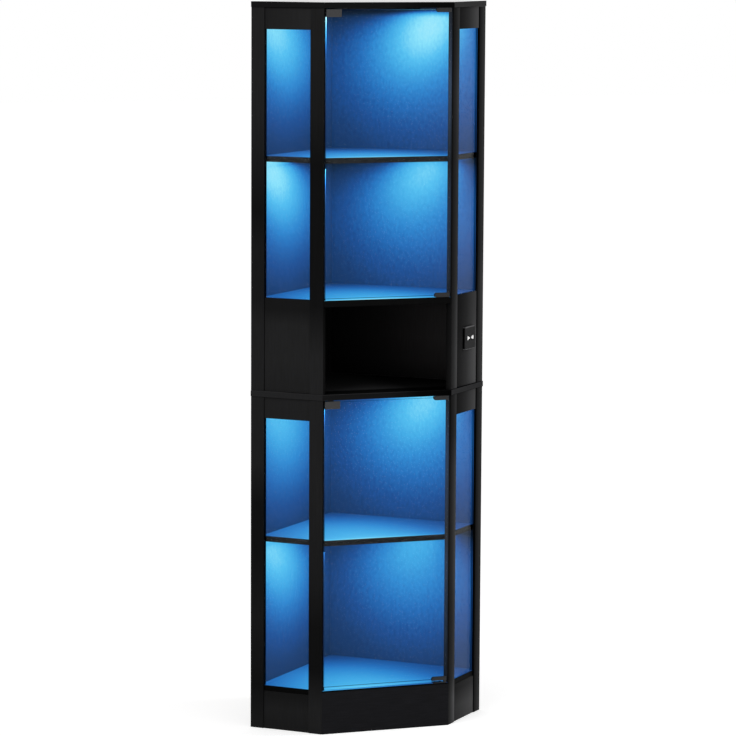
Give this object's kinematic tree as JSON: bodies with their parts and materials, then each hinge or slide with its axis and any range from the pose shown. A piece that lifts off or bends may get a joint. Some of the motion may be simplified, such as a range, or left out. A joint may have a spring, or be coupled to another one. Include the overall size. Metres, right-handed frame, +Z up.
{
  "type": "corner curio cabinet",
  "caption": "Tall corner display cabinet: black carcass, pivoted glass doors over and under an open bay, glazed sides, inner light bars, charger in the side",
  "frame": {"origin": "on the floor under the middle of the bounding box", "axes": "+Z up, the doors face -Y, +X to the right of someone facing the doors; the room corner is at +Y"},
  "size_m": [0.6158, 0.4478, 1.8],
  "materials": {
    "black_laminate": "satin black laminate on board",
    "back_laminate": "black laminated hardboard",
    "raw_wood": "unfinished beech",
    "clear_glass": "clear tempered glass with ground edges",
    "black_steel": "black painted steel",
    "zinc_steel": "zinc plated",
    "black_aluminium": "black anodised",
    "light_tape": "white tape with light chips",
    "white_plastic": "white moulded",
    "black_plastic": "black moulded",
    "grey_plastic": "grey moulded"
  },
  "bodies": {
    "carcass": {"bottom_board": "black_laminate", "cam_bolts": "zinc_steel", "cam_nuts": "zinc_steel", "charger_body": "black_plastic", "charger_gland": "black_plastic", "charger_plate": "black_plastic", "charger_ports": "white_plastic", "dowels": "raw_wood", "fixed_shelf": "black_laminate", "hinge_plate_screws": "zinc_steel", "hinge_plates": "black_steel", "kick_board": "black_laminate", "latch_screws": "zinc_steel", "left_base_rail": "black_laminate", "left_bay_panel": "black_laminate", "light_channels": "black_aluminium", "light_tapes": "light_tape", "lower_corner_batten": "raw_wood", "lower_latch_body": "black_plastic", "lower_left_back_panel": "back_laminate", "lower_left_post": "black_laminate", "lower_left_side_glass": "clear_glass", "lower_left_stile": "black_laminate", "lower_left_top_rail": "black_laminate", "lower_right_back_panel": "back_laminate", "lower_right_post": "black_laminate", "lower_right_side_glass": "clear_glass", "lower_right_stile": "black_laminate", "lower_right_top_rail": "black_laminate", "lower_shelf": "black_laminate", "middle_slab": "black_laminate", "panel_screws": "zinc_steel", "right_base_rail": "black_laminate", "right_bay_panel": "black_laminate", "shelf_pins": "zinc_steel", "top_slab": "black_laminate", "upper_corner_batten": "raw_wood", "upper_latch_body": "black_plastic", "upper_left_back_panel": "back_laminate", "upper_left_post": "black_laminate", "upper_left_side_glass": "clear_glass", "upper_left_stile": "black_laminate", "upper_left_top_rail": "black_laminate", "upper_right_back_panel": "back_laminate", "upper_right_post": "black_laminate", "upper_right_side_glass": "clear_glass", "upper_right_stile": "black_laminate", "upper_right_top_rail": "black_laminate", "upper_shelf": "black_laminate"},
    "lower_door": {"lower_door_clamp_screws": "zinc_steel", "lower_door_glass": "clear_glass", "lower_door_hinge_clips": "black_steel", "lower_door_strike_plate": "black_steel"},
    "upper_door": {"upper_door_clamp_screws": "zinc_steel", "upper_door_glass": "clear_glass", "upper_door_hinge_clips": "black_steel", "upper_door_strike_plate": "black_steel"},
    "lower_latch_plunger": {"lower_latch_plunger": "grey_plastic"},
    "upper_latch_plunger": {"upper_latch_plunger": "grey_plastic"}
  },
  "joints": [
    {"name": "upper_door_hinge", "type": "hinge", "parent": "carcass", "child": "upper_door", "pos_m": [0.15708, -0.21968, 1.4305], "axis": [0, 0, 1], "range_deg": [0, 110]},
    {"name": "lower_door_hinge", "type": "hinge", "parent": "carcass", "child": "lower_door", "pos_m": [0.15708, -0.21968, 0.4705], "axis": [0, 0, 1], "range_deg": [0, 110]},
    {"name": "upper_latch_slide", "type": "slide", "parent": "carcass", "child": "upper_latch_plunger", "axis": [0, 1, 0], "range_m": [0, 0.0025], "stiffness_N_per_m": 200, "springref_m": -0.001},
    {"name": "lower_latch_slide", "type": "slide", "parent": "carcass", "child": "lower_latch_plunger", "axis": [0, 1, 0], "range_m": [0, 0.0025], "stiffness_N_per_m": 200, "springref_m": -0.001}
  ]
}
